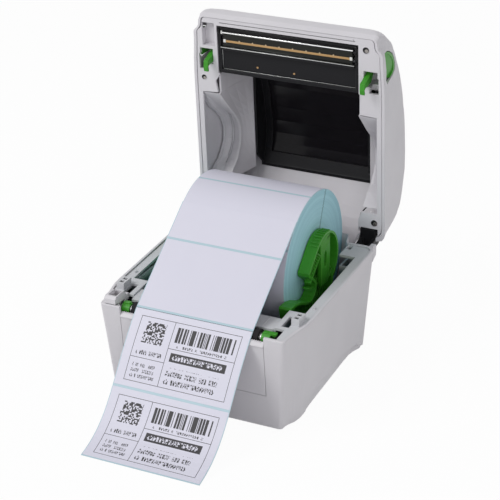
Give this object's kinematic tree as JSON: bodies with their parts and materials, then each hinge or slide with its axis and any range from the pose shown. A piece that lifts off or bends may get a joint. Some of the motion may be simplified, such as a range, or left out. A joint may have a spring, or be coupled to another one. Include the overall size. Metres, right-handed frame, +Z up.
{
  "type": "thermal label printer",
  "caption": "Desktop direct thermal label printer with a hinged lid held open, a label roll between sliding holders and a printed strip fed over its front.",
  "frame": {"origin": "on the resting plane, under the middle of the whole part's box with the lid open and the strip hanging out", "axes": "+Z up, -Y towards the front where labels come out, +X to the right seen from the front"},
  "size_m": [0.182, 0.3624, 0.294],
  "materials": {
    "shell": "light grey moulded plastic, fine matt grain",
    "deck": "light grey moulded plastic, fine matt grain",
    "black": "black moulded plastic",
    "green": "green moulded plastic, satin",
    "steel": "plain steel, satin",
    "rubber": "black rubber, ground",
    "nylon": "white gear plastic",
    "paper": "white coated label paper",
    "card": "brown card core",
    "smoked": "dark smoked clear plastic, polished",
    "board": "green circuit board",
    "ceramic": "glazed ceramic print head with a gold-brown heater line",
    "motor": "grey stepping motor case",
    "lens": "clear green lens"
  },
  "bodies": {
    "base": {"base_shell": "shell", "inner_deck": "deck", "bottom_plate": "black", "front_panel": "shell", "foot_1": "rubber", "foot_2": "rubber", "foot_3": "rubber", "foot_4": "rubber", "gear_cover": "shell", "drive_frame": "steel", "drive_motor": "motor", "main_board": "board", "power_inlet": "black", "usb_socket": "steel", "network_socket": "steel", "hinge_bracket_left": "black", "hinge_bracket_right": "black", "hinge_pin_left": "steel", "hinge_pin_right": "steel", "label_strip": "paper", "label_bridge": "paper"},
    "platen": {"platen_roller": "rubber", "platen_shaft": "steel", "platen_gear": "nylon"},
    "idler": {"idler_gear": "nylon"},
    "motor_rotor": {"motor_pinion": "steel"},
    "bearing_left": {"platen_bearing_left": "green"},
    "bearing_right": {"platen_bearing_right": "green"},
    "roll": {"label_roll": "paper", "roll_core": "card"},
    "right_holder": {"holder_right": "green"},
    "left_holder": {"holder_left": "green"},
    "holder_gear": {"holder_pinion": "nylon"},
    "sensor": {"media_sensor": "black"},
    "rocker": {"power_switch": "black"},
    "lid": {"lid_shell": "shell", "lid_frame": "shell", "lid_window": "smoked", "window_surround": "black", "lid_liner_left": "shell", "lid_liner_right": "shell", "lid_hinge_left": "black", "lid_hinge_right": "black", "head_surround": "black", "head_carrier": "steel", "tear_bar": "steel", "head_spring_left": "steel", "head_spring_right": "steel", "head_cable": "black", "status_lens": "lens"},
    "latch": {"latch_shaft": "steel", "latch_hook_left": "green", "latch_hook_right": "green"},
    "lever_left": {"latch_lever_left": "green"},
    "lever_right": {"latch_lever_right": "green"},
    "head": {"head_bracket": "black", "print_head": "ceramic"},
    "button": {"feed_button": "green"}
  },
  "joints": [
    {"name": "lid_hinge", "type": "hinge", "parent": "base", "child": "lid", "pos_m": [0, 0.10015, 0.09112], "axis": [1, 0, 0], "range_deg": [0, 88.25], "deforming": ["label_bridge"]},
    {"name": "latch_press", "type": "slide", "parent": "lid", "child": "lever_right", "axis": [-1, 0, 0], "range_m": [0, 0.0012], "stiffness_N_per_m": 400, "springref_m": -0.002},
    {"name": "latch_press_left", "type": "slide", "parent": "lid", "child": "lever_left", "axis": [1, 0, 0], "range_m": [0, 0.0012]},
    {"name": "latch_turn", "type": "hinge", "parent": "lid", "child": "latch", "pos_m": [0, 0.10825, 0.26469], "axis": [-1, 0, 0], "range_deg": [0, 4.8]},
    {"name": "head_float", "type": "slide", "parent": "lid", "child": "head", "axis": [0, 0.9954, 0.0958], "range_m": [0, 0.001], "stiffness_N_per_m": 2500, "springref_m": -0.004},
    {"name": "feed_press", "type": "slide", "parent": "lid", "child": "button", "axis": [0, -0.9954, -0.0958], "range_m": [0, 0.0015], "stiffness_N_per_m": 300, "springref_m": -0.001},
    {"name": "platen_spin", "type": "hinge", "parent": "base", "child": "platen", "pos_m": [0, -0.07885, 0.0843], "axis": [1, 0, 0], "continuous": true},
    {"name": "idler_spin", "type": "hinge", "parent": "base", "child": "idler", "pos_m": [-0.0765, -0.06956, 0.06547], "axis": [1, 0, 0], "continuous": true},
    {"name": "motor_spin", "type": "hinge", "parent": "base", "child": "motor_rotor", "pos_m": [-0.0765, -0.06845, 0.0465], "axis": [1, 0, 0], "continuous": true},
    {"name": "bearing_left_turn", "type": "hinge", "parent": "base", "child": "bearing_left", "pos_m": [-0.064, -0.07885, 0.0843], "axis": [1, 0, 0], "range_deg": [0, 20]},
    {"name": "bearing_right_turn", "type": "hinge", "parent": "base", "child": "bearing_right", "pos_m": [0.064, -0.07885, 0.0843], "axis": [1, 0, 0], "range_deg": [0, 20]},
    {"name": "roll_spin", "type": "hinge", "parent": "base", "child": "roll", "pos_m": [0, 0.04015, 0.1022], "axis": [1, 0, 0], "continuous": true},
    {"name": "holder_slide", "type": "slide", "parent": "base", "child": "right_holder", "axis": [-1, 0, 0], "range_m": [-0.012, 0]},
    {"name": "holder_slide_left", "type": "slide", "parent": "base", "child": "left_holder", "axis": [1, 0, 0], "range_m": [-0.012, 0]},
    {"name": "holder_gear_turn", "type": "hinge", "parent": "base", "child": "holder_gear", "pos_m": [0, 0.01815, 0.03], "axis": [0, 0, 1], "range_deg": [-86, 0]},
    {"name": "sensor_slide", "type": "slide", "parent": "base", "child": "sensor", "axis": [1, 0, 0], "range_m": [-0.015, 0.015]},
    {"name": "power_rocker", "type": "hinge", "parent": "base", "child": "rocker", "pos_m": [0.071, 0.08415, 0.024], "axis": [1, 0, 0], "range_deg": [0, 10]}
  ],
  "couplings": [
    {"joint": "latch_press_left", "follows": "latch_press", "ratio": 1},
    {"joint": "latch_turn", "follows": "latch_press", "rad_per_m": 69.8},
    {"joint": "idler_spin", "follows": "platen_spin", "ratio": -0.61538},
    {"joint": "motor_spin", "follows": "platen_spin", "ratio": 1.3333},
    {"joint": "holder_slide_left", "follows": "holder_slide", "ratio": 1},
    {"joint": "holder_gear_turn", "follows": "holder_slide", "rad_per_m": 125}
  ]
}
